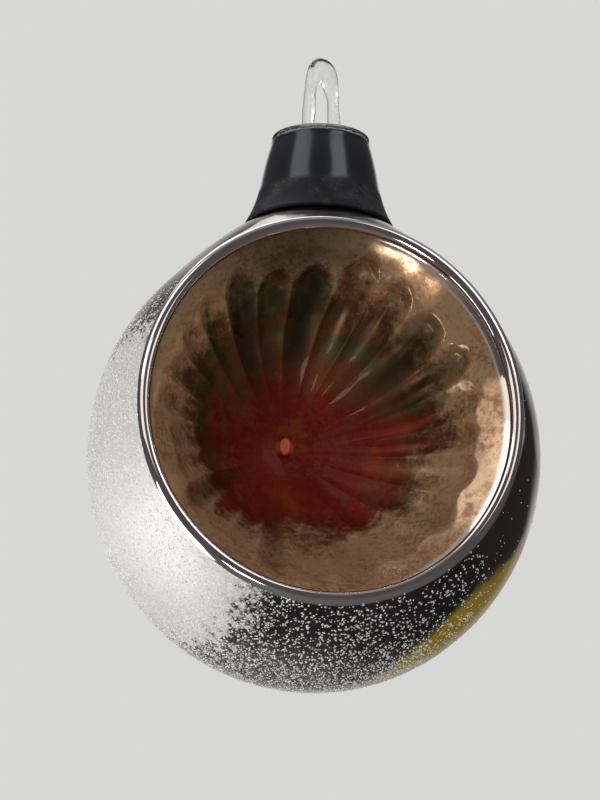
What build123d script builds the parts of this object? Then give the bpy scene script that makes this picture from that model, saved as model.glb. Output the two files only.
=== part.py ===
from build123d import *
import math
import os

# Indent-reflector glass ball ornament, in millimetres.
#
# The frame: +Z runs up the neck, and -Y is the side that the fluted reflector opens to. The origin is
# the highest point of the hanging loop's eye, where a hook bears. The glass is one blown bubble, made
# here as an outer shell with its rolled rim and as the reflector pressed into its front. A moulded cap
# pushes on to the neck over a grip sleeve and lifts off upwards. The glass hanging loop turns in it.

os.makedirs("parts", exist_ok=True)

# ---------------------------------------------------------------- hanging loop
arch_thickness = 3.8  # glass above the eye
eye_height = 5.6
eye_foot_width = 2.6
eye_top_width = 2.0
loop_foot_width = 5.6
loop_waist_width = 5.3
loop_waist_height = 3.6  # above the foot disc
loop_shoulder_width = 4.1
loop_shoulder_height = 0.9  # above the eye's top
loop_depth = 2.2  # front to back
loop_edge_round = 0.6
loop_base = 2.1  # solid glass between the eye and the foot disc
loop_turn = 25.0  # degrees that the eye is turned from facing the reflector's side
disc_radius = 6.5
disc_thickness = 0.5
disc_edge_round = 0.2
stem_radius = 1.2
bead_radius = 2.3
bead_height = 1.7
bead_round_share = 0.4  # of the bead's height, at both its edges

# ---------------------------------------------------------------- moulded cap
cap_height = 12.2  # skirt's edge to crown
crown_radius = 6.6
crown_round = 0.5
crown_wall = 1.2
waist_radius = 7.5
waist_drop = 4.3  # below the crown
flare_radius = 8.3
flare_drop = 8.1  # below the crown
skirt_radius = 9.95
skirt_wall = 0.75
sleeve_wall = 0.6

# ---------------------------------------------------------------- glass bubble
ball_radius = 30.0
ball_half_height = 31.0
glass_wall = 0.8
shoulder_radius = 21.5  # where the shoulder leaves the round of the ball
shoulder_mid_radius = 14.0
shoulder_mid_drop = 2.1  # below the height that the round of the ball would reach
seat_radius = 9.4  # where the skirt comes down on the shoulder
seat_rise = 1.2  # above the height that the round of the ball would reach
neck_root_rise = 5.6
neck_radius = 5.0

# ---------------------------------------------------------------- rolled rim and reflector
rim_distance = 15.7  # from the ball's centre forward to the roll's plane
rim_roll_radius = 1.4
rim_inset_side = 1.7  # from the ball's wall in to the roll's centre line
rim_inset_end = 0.5
rim_shift_side = 0.4
rim_shift_up = 1.0
reflector_depth = 17.8
reflector_power = 1.7  # 2 gives a paraboloid, 1 a cone
apex_shift_side = -3.6
apex_shift_up = 0.8
apex_radius = 1.3
ring_shares = (1, 0.96, 0.88, 0.76, 0.6, 0.42, 0.24)  # rings that it is lofted through, 1 at the mouth
tuck_share = 0.55  # of the roll's radius, from the roll's middle in and back to the reflector's edge
flute_count = 24
flute_depth = 1.3
flute_full_share = 0.5  # of the way out, where the flutes reach their full depth
flute_end_share = 0.985
flute_end_run = 0.12
nib_radius = 0.8
nib_height = 1.5
nib_round_share = 0.6  # of the nib's radius, at its tip

# ---------------------------------------------------------------- coats
silver_thickness = 0.2
coat_setback = 2.8  # from the roll's plane back to the edge of the ball's mirror coat
frost_thickness = 0.3
frost_top_drop = 11.0  # from the height that the round of the ball would reach
frost_rim_margin = 1.0

# ---------------------------------------------------------------- clearances
running_clearance = 0.05
turn_gap = 0.1
seat_gap = 0.15
coat_margin = 0.1  # where a mirror coat stops short of the roll
mouth_gap = 0.3  # from the bead down to the neck's mouth
root_gap = 0.45  # from the sleeve down to the neck's root

# ---------------------------------------------------------------- how many points the curves go through
shoulder_steps = 6
ring_steps_per_flute = 4

# ---------------------------------------------------------------- levels that follow from the sizes
disc_top = -eye_height - loop_base
disc_bottom = disc_top - disc_thickness
crown_top = disc_bottom - turn_gap
crown_underside = crown_top - crown_wall
skirt_bottom = crown_top - cap_height
seat_level = skirt_bottom - seat_gap
ball_center = seat_level - seat_rise - ball_half_height
neck_root = ball_center + ball_half_height + neck_root_rise
bead_top = crown_underside - turn_gap
neck_mouth = bead_top - bead_height - mouth_gap
sleeve_bore = neck_radius + running_clearance
cap_bore = sleeve_bore + sleeve_wall


def ellipse_reach(half_width, half_height, height):
    """Half width of an ellipse at a height above its centre."""
    return half_width * math.sqrt(1 - (height / half_height) ** 2)


rim_half_width = ellipse_reach(ball_radius, ball_radius, rim_distance) - rim_inset_side
rim_half_height = ellipse_reach(ball_half_height, ball_radius, rim_distance) - rim_inset_end
rim_center = (rim_shift_side, ball_center + rim_shift_up)
mouth_step = rim_roll_radius * tuck_share
mouth_distance = rim_distance - mouth_step
mouth_half_width = rim_half_width - mouth_step
mouth_half_height = rim_half_height - mouth_step
mouth_mean_radius = (mouth_half_width + mouth_half_height) / 2
apex_share = apex_radius / mouth_mean_radius
cutter_size = 3 * ball_radius  # of the blocks that cut the ball, so that they reach past it


def upright_plane(forward):
    """The plane across the reflector's axis, forward of the ball's centre; its x is +X and its y is +Z."""
    return Plane(origin=(0, -forward, 0), x_dir=(1, 0, 0), z_dir=(0, -1, 0))


# The shoulder's outside, from the round of the ball up to the neck's root.
leave_turn = math.acos(shoulder_radius / ball_radius)
with BuildLine() as shoulder:
    Spline(
        (shoulder_radius, ball_center + ball_half_height * math.sin(leave_turn)),
        (shoulder_mid_radius, ball_center + ball_half_height - shoulder_mid_drop),
        (seat_radius, seat_level),
        (neck_radius, neck_root),
        tangents=[(-ball_radius * math.sin(leave_turn), ball_half_height * math.cos(leave_turn)), (0, 1)],
    )


def bubble_outline(inset):
    """The right half of the bubble's outline, closed along the axis, inset from the glass's outside."""
    wide = ball_radius - inset
    tall = ball_half_height - inset
    shoulder_points = []
    for step in range(1, shoulder_steps):
        place = shoulder.edge() @ (step / shoulder_steps)
        along = shoulder.edge() % (step / shoulder_steps)
        shoulder_points.append((place.X - inset * along.Y, place.Y + inset * along.X))
    EllipticalCenterArc(
        (0, ball_center), wide, tall, start_angle=-90, arc_size=90 + math.degrees(leave_turn)
    )
    Spline(
        (wide * math.cos(leave_turn), ball_center + tall * math.sin(leave_turn)),
        *shoulder_points,
        (neck_radius - inset, neck_root),
        tangents=[(-wide * math.sin(leave_turn), tall * math.cos(leave_turn)), (0, 1)],
    )
    Polyline(
        (neck_radius - inset, neck_root),
        (neck_radius - inset, neck_mouth),
        (0, neck_mouth),
        (0, ball_center - tall),
    )


def turned_bubble(inset):
    """The bubble as a full solid of revolution, inset from the glass's outside."""
    with BuildPart(mode=Mode.PRIVATE) as bubble:
        with BuildSketch(Plane.XZ):
            with BuildLine():
                bubble_outline(inset)
            make_face()
        revolve(axis=Axis.Z)
    return bubble.part


def rolled_rim(roll_radius):
    """The oval roll of glass round the reflector's mouth."""
    start = (rim_center[0] + rim_half_width, -rim_distance, rim_center[1])
    with BuildPart(mode=Mode.PRIVATE) as roll:
        with BuildLine(upright_plane(rim_distance)) as path:
            EllipticalCenterArc(rim_center, rim_half_width, rim_half_height, arc_size=360)
        with BuildSketch(Plane(origin=start, x_dir=(1, 0, 0), z_dir=(0, 0, 1))):
            Circle(roll_radius)
        sweep(path=path.line)
    return roll.part


def front_space(forward):
    """Everything further forward of the ball's centre than the distance given."""
    with BuildPart(mode=Mode.PRIVATE) as space:
        with BuildSketch(upright_plane(forward)):
            with Locations((0, ball_center)):
                Rectangle(cutter_size, cutter_size)
        extrude(amount=cutter_size)
    return space.part


def flute_fade(share):
    """How deep the flutes are at a share of the way from the apex out to the mouth."""
    outer = min(1, max(0, (flute_end_share - share) / flute_end_run))
    inner = min(1, share / flute_full_share)
    return outer * inner


def bowl_center(share):
    """The middle of one ring of the reflector, which drifts from the rim's middle to the apex."""
    return (
        rim_center[0] + apex_shift_side * (1 - share),
        rim_center[1] + apex_shift_up * (1 - share),
    )


def bowl_slope(share):
    """How steeply the reflector runs back at a ring."""
    return reflector_depth * reflector_power * share ** (reflector_power - 1) / mouth_mean_radius


def bowl_forward(share, offset):
    """How far forward of the ball's centre a ring lies, offset to the reflector's back."""
    depth = reflector_depth * (1 - share**reflector_power)
    return mouth_distance - depth - offset / math.hypot(1, bowl_slope(share))


def bowl_ring(share, offset):
    """The points of one closed ring of the reflector's surface, offset to its back."""
    outward = offset * bowl_slope(share) / math.hypot(1, bowl_slope(share))
    center_x, center_y = bowl_center(share)
    steps = ring_steps_per_flute * flute_count
    points = []
    for step in range(steps):
        turn = 2 * math.pi * step / steps
        flute = flute_depth * flute_fade(share) * (1 - math.cos(flute_count * turn)) / 2
        across = share * mouth_half_width + outward - flute
        upward = share * mouth_half_height + outward - flute
        points.append((center_x + across * math.cos(turn), center_y + upward * math.sin(turn)))
    return points


def reflector_space(offset):
    """The space in front of the reflector's surface, as far back as the offset says."""
    with BuildPart(mode=Mode.PRIVATE) as space:
        for share in (*ring_shares, apex_share):
            with BuildSketch(upright_plane(bowl_forward(share, offset))):
                with BuildLine():
                    Spline(*bowl_ring(share, offset), periodic=True)
                make_face()
        loft()
    return space.part


full_bubble = turned_bubble(0)
bubble_inside = turned_bubble(glass_wall)
roll = rolled_rim(rim_roll_radius)
in_front_of_rim = front_space(rim_distance)
reflector_front = reflector_space(0)
reflector_back = reflector_space(glass_wall)

# ---------------------------------------------------------------- outer glass with its rolled rim
with BuildPart() as ball_shell:
    add(full_bubble)
    add(bubble_inside, mode=Mode.SUBTRACT)
    add(in_front_of_rim, mode=Mode.SUBTRACT)
    add(roll)
ball_shell.part.label = "ball_shell"
export_step(ball_shell.part, "parts/ball_shell.step")

# ---------------------------------------------------------------- fluted reflector with its sealed nib
with BuildPart() as reflector_dish:
    add(reflector_back)
    add(reflector_front, mode=Mode.SUBTRACT)
    with BuildSketch(upright_plane(bowl_forward(apex_share, 0))):
        with Locations(bowl_center(apex_share)):
            Circle(nib_radius)
    extrude(amount=nib_height)
    nib_tip = reflector_dish.edges().filter_by(GeomType.CIRCLE).sort_by(Axis.Y)[0]
    fillet(nib_tip, radius=nib_radius * nib_round_share)
    add(roll, mode=Mode.SUBTRACT)
reflector_dish.part.label = "reflector_dish"
export_step(reflector_dish.part, "parts/reflector_dish.step")

# ---------------------------------------------------------------- mirror coats inside the glass
with BuildPart() as ball_silvering:
    add(bubble_inside)
    add(turned_bubble(glass_wall + silver_thickness), mode=Mode.SUBTRACT)
    add(front_space(rim_distance - coat_setback), mode=Mode.SUBTRACT)
ball_silvering.part.label = "ball_silvering"
export_step(ball_silvering.part, "parts/ball_silvering.step")

with BuildPart() as reflector_silvering:
    add(reflector_space(glass_wall + silver_thickness))
    add(reflector_back, mode=Mode.SUBTRACT)
    add(rolled_rim(rim_roll_radius + coat_margin), mode=Mode.SUBTRACT)
reflector_silvering.part.label = "reflector_silvering"
export_step(reflector_silvering.part, "parts/reflector_silvering.step")

# ---------------------------------------------------------------- frost of mica flakes on the ball
with BuildPart() as frost_coat:
    add(turned_bubble(-frost_thickness))
    add(full_bubble, mode=Mode.SUBTRACT)
    with BuildSketch(Plane.XY.offset(ball_center + ball_half_height - frost_top_drop)):
        Rectangle(cutter_size, cutter_size)
    extrude(amount=cutter_size, mode=Mode.SUBTRACT)
    add(in_front_of_rim, mode=Mode.SUBTRACT)
    add(rolled_rim(rim_roll_radius + frost_rim_margin), mode=Mode.SUBTRACT)
frost_coat.part.label = "frost_coat"
export_step(frost_coat.part, "parts/frost_coat.step")

# ---------------------------------------------------------------- bell-shaped cap
with BuildPart() as neck_cap:
    with BuildSketch(Plane.XZ):
        with BuildLine():
            Spline(
                (skirt_radius, skirt_bottom),
                (flare_radius, crown_top - flare_drop),
                (waist_radius, crown_top - waist_drop),
                (crown_radius, crown_top),
            )
            Polyline(
                (crown_radius, crown_top),
                (0, crown_top),
                (0, crown_underside),
                (cap_bore, crown_underside),
                (cap_bore, neck_root),
                (skirt_radius - skirt_wall, skirt_bottom),
                (skirt_radius, skirt_bottom),
            )
        make_face()
    revolve(axis=Axis.Z)
    fillet(neck_cap.edges().group_by(Axis.Z)[-1], radius=crown_round)
    with BuildSketch(Plane.XY.offset(crown_top)):
        Circle(stem_radius + running_clearance)
    extrude(amount=-crown_wall, mode=Mode.SUBTRACT)
neck_cap.part.label = "neck_cap"
export_step(neck_cap.part, "parts/neck_cap.step")

# ---------------------------------------------------------------- sleeve that grips the glass neck
with BuildPart() as grip_sleeve:
    with BuildSketch(Plane.XY.offset(neck_mouth)):
        Circle(cap_bore)
        Circle(sleeve_bore, mode=Mode.SUBTRACT)
    extrude(amount=neck_root + root_gap - neck_mouth)
grip_sleeve.part.label = "grip_sleeve"
export_step(grip_sleeve.part, "parts/grip_sleeve.step")

# ---------------------------------------------------------------- glass hanging loop
turn = math.radians(loop_turn)
loop_plane = Plane(
    origin=(0, 0, 0),
    x_dir=(math.cos(turn), math.sin(turn), 0),
    z_dir=(math.sin(turn), -math.cos(turn), 0),
)
waist_level = disc_top + loop_waist_height
with BuildPart() as hanging_loop:
    with BuildSketch(loop_plane):
        with BuildLine():
            Spline(
                (-loop_foot_width / 2, disc_top),
                (-loop_waist_width / 2, waist_level),
                (-loop_shoulder_width / 2, loop_shoulder_height),
                (0, arch_thickness),
                (loop_shoulder_width / 2, loop_shoulder_height),
                (loop_waist_width / 2, waist_level),
                (loop_foot_width / 2, disc_top),
            )
            Line((loop_foot_width / 2, disc_top), (-loop_foot_width / 2, disc_top))
        make_face()
        with BuildSketch(mode=Mode.PRIVATE) as eye:
            with Locations((0, -eye_top_width / 2)):
                Circle(eye_top_width / 2)
            with Locations((0, eye_foot_width / 2 - eye_height)):
                Circle(eye_foot_width / 2)
            make_hull()
        add(eye.sketch, mode=Mode.SUBTRACT)
    extrude(amount=loop_depth / 2, both=True)
    broad_edges = hanging_loop.faces().filter_by(Axis((0, 0, 0), loop_plane.z_dir)).edges()
    fillet(broad_edges.filter_by_position(Axis.Z, waist_level - loop_waist_height / 2, arch_thickness),
           radius=loop_edge_round)
    with BuildSketch(Plane.XY.offset(disc_bottom)):
        Circle(disc_radius)
    extrude(amount=disc_thickness)
    disc_edges = hanging_loop.edges(Select.LAST).filter_by(GeomType.CIRCLE).group_by(SortBy.RADIUS)[-1]
    fillet(disc_edges, radius=disc_edge_round)
    with BuildSketch(Plane.XY.offset(disc_bottom)):
        Circle(stem_radius)
    extrude(amount=bead_top - bead_height - disc_bottom)
    with BuildSketch(Plane.XY.offset(bead_top)):
        Circle(bead_radius)
    extrude(amount=-bead_height)
    bead_edges = hanging_loop.edges(Select.LAST).filter_by(GeomType.CIRCLE).group_by(SortBy.RADIUS)[-1]
    fillet(bead_edges, radius=bead_height * bead_round_share)
hanging_loop.part.label = "hanging_loop"
export_step(hanging_loop.part, "parts/hanging_loop.step")
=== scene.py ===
import math

import bmesh
import bpy
import numpy as np
from mathutils import Matrix, Vector


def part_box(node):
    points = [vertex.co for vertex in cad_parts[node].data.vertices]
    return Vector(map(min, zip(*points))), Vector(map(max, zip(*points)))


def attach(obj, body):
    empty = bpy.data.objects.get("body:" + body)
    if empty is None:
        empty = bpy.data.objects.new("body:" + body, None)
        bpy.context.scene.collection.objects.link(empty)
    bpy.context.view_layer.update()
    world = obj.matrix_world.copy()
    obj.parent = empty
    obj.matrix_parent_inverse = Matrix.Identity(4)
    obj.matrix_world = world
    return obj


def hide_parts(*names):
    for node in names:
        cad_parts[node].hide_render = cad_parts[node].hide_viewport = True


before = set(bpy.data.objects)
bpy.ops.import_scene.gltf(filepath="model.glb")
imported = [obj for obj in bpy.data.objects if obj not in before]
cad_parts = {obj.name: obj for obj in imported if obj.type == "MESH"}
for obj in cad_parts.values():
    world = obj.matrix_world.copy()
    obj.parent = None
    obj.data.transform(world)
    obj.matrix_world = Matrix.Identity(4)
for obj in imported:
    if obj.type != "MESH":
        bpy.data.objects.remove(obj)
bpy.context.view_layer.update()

bl_info = {
    "name": "Indent reflector ornament",
    "version": (1, 0, 0),
    "blender": (4, 5, 0),
    "location": "3D View > Sidebar > Ornament",
    "description": "Dresses a silvered glass ball with its fluted reflector, cap and glass hanging loop",
    "category": "Object",
}

MM = 0.001

# ---------------------------------------------------------------- places that come from the frame
shell_low, shell_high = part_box("ball_shell")
cap_low, cap_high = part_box("neck_cap")
sleeve_low, sleeve_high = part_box("grip_sleeve")
loop_low, loop_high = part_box("hanging_loop")
frost_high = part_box("frost_coat")[1]


# ---------------------------------------------------------------- sizes and colours to change
def length_prop(name, description, millimetres, precision=4):
    """A length, given here in millimetres and kept in metres."""
    return bpy.props.FloatProperty(
        name=name, description=description, default=millimetres * MM, unit="LENGTH", precision=precision)


def angle_prop(name, description, degrees):
    """An angle, given here in degrees and kept in radians."""
    return bpy.props.FloatProperty(
        name=name, description=description, default=math.radians(degrees), subtype="ANGLE")


def number_prop(name, description, default, **limits):
    """A plain number."""
    return bpy.props.FloatProperty(name=name, description=description, default=default, **limits)


def colour_prop(name, description, red, green, blue):
    """A colour."""
    return bpy.props.FloatVectorProperty(
        name=name, description=description, subtype="COLOR", size=3, default=(red, green, blue))


class BallSettings(bpy.types.PropertyGroup):
    """The blown glass ball and its rolled rim."""

    half_height: length_prop("Half height", "Ball's centre to its lowest point", 31.0)
    glass_wall: length_prop("Glass wall", "Thickness of the glass", 0.8)
    shoulder_radius: length_prop("Shoulder radius", "Where the shoulder leaves the round of the ball", 21.5)
    roll_radius: length_prop("Roll radius", "Thickness of the rolled rim, halved", 0.95)
    rim_half_width: length_prop("Rim half width", "Rim's middle sideways to the roll's middle", 24.85)
    rim_half_height: length_prop("Rim half height", "Rim's middle up to the roll's middle", 26.2)
    rim_shift_side: length_prop("Rim shift sideways", "Rim's middle beside the ball's middle", -0.2)
    rim_shift_up: length_prop("Rim shift upwards", "Rim's middle above the ball's middle", 1.3)
    blend_back: length_prop("Blend", "How far behind the roll's middle the ball turns into it", 1.3)
    ripple: length_prop("Ripple", "Height of the hand-blown unevenness", 0.035, precision=5)
    silver: colour_prop("Silver", "Colour of the silvering", 0.72, 0.70, 0.68)
    # Also the colour of the painted shade on the ball's right side, shoulder and under the rim's specks.
    tarnish_and_shade: colour_prop("Tarnish", "Colour of the silvering where it has aged", 0.15, 0.125, 0.12)
    rim: colour_prop("Rim", "Colour of the mirror on the rolled rim", 0.88, 0.81, 0.77)
    lacquer: colour_prop("Lacquer", "Colour of the yellow lacquer low on one side", 0.66, 0.46, 0.02)


class ReflectorSettings(bpy.types.PropertyGroup):
    """The fluted reflector pressed into the ball's front."""

    depth: length_prop("Depth", "From the mouth back to the apex", 17.8)
    flute_depth: length_prop("Flute depth", "From the ridges to the bottom of the flutes", 1.25)
    unevenness: number_prop("Unevenness", "How much the flutes differ in depth", 0.3, min=0.0, max=0.8)
    core: colour_prop("Core", "Lacquer round the apex", 0.21, 0.010, 0.001)
    ember: colour_prop("Ember", "Orange in the core's flutes", 0.32, 0.045, 0.004)
    olive: colour_prop("Olive", "Green patches between core and rim", 0.075, 0.080, 0.026)
    umber: colour_prop("Umber", "Brown between core and rim", 0.17, 0.075, 0.030)
    champagne: colour_prop("Champagne", "Outer band", 0.62, 0.40, 0.22)
    russet: colour_prop("Russet", "Stains in the outer band", 0.36, 0.14, 0.06)
    nib: colour_prop("Nib", "Thick lacquer round the sealed nib", 0.80, 0.20, 0.09)


class FrostSettings(bpy.types.PropertyGroup):
    """The glued mica grains on the ball."""

    density: number_prop("Density", "Most grains on a square millimetre", 7.0, min=0.0)
    grain_small: length_prop("Smallest grain", "Width of the smallest grains", 0.14, precision=5)
    grain_large: length_prop("Largest grain", "Width of the largest grains", 0.46, precision=5)
    colour: colour_prop("Colour", "Colour of the grains", 0.87, 0.87, 0.86)


class CapSettings(bpy.types.PropertyGroup):
    """The black bell-shaped cap on the neck."""

    waist_drop: length_prop("Waist drop", "Waist below the crown", 4.3)
    waist_radius: length_prop("Waist radius", "Radius at the waist", 7.5)
    flare_drop: length_prop("Flare drop", "Start of the flare below the crown", 8.1)
    flare_radius: length_prop("Flare radius", "Radius where the flare starts", 8.3)
    crown_radius: length_prop("Crown radius", "Radius at the crown", 6.6)
    crown_wall: length_prop("Crown wall", "Thickness of the crown", 1.2)
    hole_radius: length_prop("Hole radius", "Hole that the loop's stem turns in", 1.25)
    dust_line: length_prop("Dust line", "Height above the skirt's edge where the dull zone ends", 4.6)
    gloss: colour_prop("Gloss black", "Colour of the glossy part", 0.010, 0.011, 0.016)
    # Dust, which also stands in for a painted brownish reflection on the dull lower part.
    dust_and_reflection: colour_prop("Dust", "Colour of the dust", 0.12, 0.105, 0.09)


class LoopSettings(bpy.types.PropertyGroup):
    """The clear glass hanging loop on its foot disc."""

    turn: angle_prop("Turn", "How far the eye is turned from facing the reflector's side", 25)
    leg_spacing: length_prop("Leg spacing", "Between the middles of the two legs at their feet", 4.1)
    eye_height: length_prop("Eye height", "Height of the eye", 5.6)
    disc_thickness: length_prop("Disc thickness", "Thickness of the foot disc", 0.5)
    voxel: length_prop("Voxel", "Fineness of the fused glass", 0.15, precision=5)
    tint: colour_prop("Tint", "Colour of the clear glass", 0.90, 0.91, 0.88)
    # Painted shade: the glass is darkened towards this colour where it is seen edge on.
    edge: colour_prop("Edge", "Colour of the glass where it is seen edge on", 0.12, 0.115, 0.105)


class StageSettings(bpy.types.PropertyGroup):
    """Camera, lamps and surroundings."""

    azimuth: angle_prop("Azimuth", "Camera's turn round the object", -8)
    elevation: angle_prop("Elevation", "Camera's height as an angle", -19.5)
    roll: angle_prop("Roll", "Camera's turn round its own axis", -1.25)
    distance: number_prop("Distance", "Camera to object", 3.0, unit="LENGTH")
    lens: number_prop("Lens", "Focal length in millimetres", 1021.0)
    key_power: number_prop("Key", "Power of the side softbox", 1.15)
    fill_power: number_prop("Fill", "Power of the high softbox on the left; the right one has less", 0.50)
    front_power: number_prop("Front", "Power of the low front softbox", 0.55)
    side_power: number_prop("Sides", "Power of the left side's softbox; the right side's has less", 0.33)
    top_power: number_prop("Top", "Power of the overhead softbox", 1.2)
    ambient: number_prop("Ambient", "Light from all round", 0.42)
    room: colour_prop("Room", "What the glass mirrors from in front", 0.075, 0.07, 0.075)
    backdrop: colour_prop("Backdrop", "Colour behind the object", 0.68, 0.68, 0.67)


# ---------------------------------------------------------------- shared geometry
def full_turn(count):
    """So many angles spread evenly over a full turn."""
    return np.linspace(0, 2 * math.pi, count, endpoint=False)


def unit(vectors):
    """Each vector made one long."""
    return vectors / np.linalg.norm(vectors, axis=-1, keepdims=True)


def hermite(share, length, first, first_slope, last, last_slope):
    """A place between two points, on a curve that leaves and meets them along their slopes."""
    return ((1 + 2 * share) * (1 - share) ** 2 * first
            + share * (1 - share) ** 2 * length * first_slope
            + share ** 2 * (3 - 2 * share) * last
            + share ** 2 * (share - 1) * length * last_slope)


def rise(value, start, run):
    """0 up to the start, 1 from the end of the run on, and straight between them."""
    return np.clip((value - start) / run, 0, 1)


def smooth_curve(points, count, start=None, end=None):
    """Points along a smooth curve through the given points, with its directions at both ends if given."""
    points = np.array(points, float)
    chords = np.linalg.norm(np.diff(points, axis=0), axis=1)
    size = len(points)
    system = np.zeros((size, size))
    wanted = np.zeros_like(points)
    for i in range(1, size - 1):
        before, after = chords[i - 1], chords[i]
        system[i, i - 1:i + 2] = after, 2 * (before + after), before
        wanted[i] = 3 * (
            before * (points[i + 1] - points[i]) / after + after * (points[i] - points[i - 1]) / before)
    for i, other, direction in ((0, 1, start), (size - 1, size - 2, end)):
        system[i, i] = 1
        if direction is None:
            system[i, other] = 1
            wanted[i] = 2 * (points[max(i, other)] - points[min(i, other)]) / chords[min(i, other)]
        else:
            wanted[i] = np.array(direction, float) / np.linalg.norm(direction)
    slopes = np.linalg.solve(system, wanted)
    knots = np.concatenate([[0], np.cumsum(chords)])
    places = np.linspace(0, knots[-1], count)
    piece = np.clip(np.searchsorted(knots, places, side="right") - 1, 0, size - 2)
    length = chords[piece]
    share = (places - knots[piece]) / length
    return hermite(share[:, None], length[:, None], points[piece], slopes[piece],
                   points[piece + 1], slopes[piece + 1])


def arc(center, radius, start, end, count):
    """Points along a round arc in the plane, angles in degrees."""
    turns = np.radians(np.linspace(start, end, count))
    return np.stack([center[0] + radius * np.cos(turns), center[1] + radius * np.sin(turns)], axis=1)


def waviness(points, height, wave, seed):
    """A smooth seeded unevenness at each point, about as high as given and a wave long."""
    draw = np.random.default_rng(seed)
    total = np.zeros(points.shape[:-1])
    waves = 9
    for _ in range(waves):
        direction = draw.normal(size=3)
        direction /= np.linalg.norm(direction)
        length = wave * draw.uniform(0.6, 1.6)
        total += np.sin(points @ direction * 2 * math.pi / length + draw.uniform(0, 2 * math.pi))
    return total * height / math.sqrt(waves)


def add_object(name, data):
    """A new object in the scene."""
    made = bpy.data.objects.new(name, data)
    bpy.context.scene.collection.objects.link(made)
    return made


def mesh_from_rings(name, rings, first=None, last=None, looped=False):
    """A closed mesh over rings of points, shut by a point at each end or by joining both end rings."""
    rings = np.asarray(rings, float)
    count, across = rings.shape[:2]
    vertices = [tuple(point) for point in rings.reshape(-1, 3)]
    steps = np.arange(across)
    following = np.roll(steps, -1)
    faces = []
    for ring in range(count if looped else count - 1):
        here, there = ring * across, (ring + 1) % count * across
        faces += zip(here + steps, here + following, there + following, there + steps)
    for point, ring in ((first, 0), (last, count - 1)):
        if point is not None:
            faces += zip(ring * across + steps, ring * across + following, [len(vertices)] * across)
            vertices.append(tuple(point))
    mesh = bpy.data.meshes.new(name)
    mesh.from_pydata(vertices, [], [tuple(int(i) for i in face) for face in faces])
    shape = bmesh.new()
    shape.from_mesh(mesh)
    bmesh.ops.recalc_face_normals(shape, faces=shape.faces)
    shape.to_mesh(mesh)
    shape.free()
    mesh.shade_smooth()
    return add_object(name, mesh)


def turned_mesh(name, outline, segments, looped=True):
    """A mesh turned round the vertical axis from an outline of (radius, height) points."""
    turns = full_turn(segments)
    rings = [np.stack([radius * np.cos(turns), radius * np.sin(turns), np.full(segments, height)], axis=1)
             for radius, height in outline]
    return mesh_from_rings(name, rings, looped=looped)


def store(piece, name, values):
    """Keeps one value for each point of a piece, for its material to read."""
    layer = piece.data.attributes.new(name, "FLOAT", "POINT")
    layer.data.foreach_set("value", np.asarray(values, np.float32))


def finish(piece, name):
    """Gives a piece or a CAD node one of the finishes."""
    piece.data.materials.clear()
    piece.data.materials.append(bpy.data.materials[name + "_finish"])


def dress(piece, body, slot, *replaced):
    """Gives a piece the finish of its slot, puts it on its body and hides the CAD nodes that it replaces.
    """
    finish(piece, slot)
    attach(piece, body)
    if replaced:
        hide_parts(*replaced)


# ---------------------------------------------------------------- the ball's own geometry
def ball_center():
    """The middle of the ball."""
    return Vector((0, 0, shell_low.z + bpy.context.scene.ornament_ball.half_height))


def glass_reach(elevation, inset=0.0):
    """Distance from the ball's centre to the glass, at angles above the ball's equator."""
    ball = bpy.context.scene.ornament_ball
    wide = shell_high.x - inset
    tall = ball.half_height - inset
    leave = math.acos(ball.shoulder_radius / shell_high.x)
    dome_mid = (14.0 * MM, ball.half_height - 2.1 * MM)
    dome_seat = (9.4 * MM, ball.half_height + 1.2 * MM)
    dome_high = (4.6 * MM, ball.half_height + 3.4 * MM)
    shoulder = smooth_curve(
        [(wide * math.cos(leave), tall * math.sin(leave)),
         (dome_mid[0] - 0.6 * inset, dome_mid[1] - 0.8 * inset),
         (dome_seat[0] - 0.7 * inset, dome_seat[1] - 0.7 * inset),
         (dome_high[0], dome_high[1] - inset),
         (0, dome_high[1] + 0.8 * MM - inset)],
        200, start=(-wide * math.sin(leave), tall * math.cos(leave)), end=(-1, 0))
    angles = np.arctan2(shoulder[:, 1], shoulder[:, 0])
    round_reach = wide * tall / np.hypot(tall * np.cos(elevation), wide * np.sin(elevation))
    shoulder_reach = np.interp(elevation, angles, np.hypot(shoulder[:, 0], shoulder[:, 1]))
    return np.where(elevation > angles[0], shoulder_reach, round_reach)


def rim_ring(count):
    """The roll's middle line and its outward directions, as arrays."""
    ball = bpy.context.scene.ornament_ball
    wide, tall = ball.rim_half_width, ball.rim_half_height
    turns = full_turn(count)
    middle = np.stack([
        ball.rim_shift_side + wide * np.cos(turns),
        np.full(count, shell_low.y + ball.roll_radius),
        ball_center().z + ball.rim_shift_up + tall * np.sin(turns)], axis=1)
    outward = np.stack([np.cos(turns) / wide, np.zeros(count), np.sin(turns) / tall], axis=1)
    return middle, unit(outward)


def glass_edge(middle, outward, back):
    """Where the glass lies straight out from the roll, so far behind the roll's middle."""
    center = np.array(ball_center())
    behind = middle + (0, back, 0)
    inmost, outmost, halvings = -6 * MM, 12 * MM, 40
    near = np.full(len(middle), inmost)
    far = np.full(len(middle), outmost)
    for _ in range(halvings):
        halfway = (near + far) / 2
        from_center = behind + outward * halfway[:, None] - center
        reach = np.linalg.norm(from_center, axis=1)
        outside = reach > glass_reach(np.arcsin(from_center[:, 2] / reach))
        far = np.where(outside, halfway, far)
        near = np.where(outside, near, halfway)
    return behind + outward * near[:, None]


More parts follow.
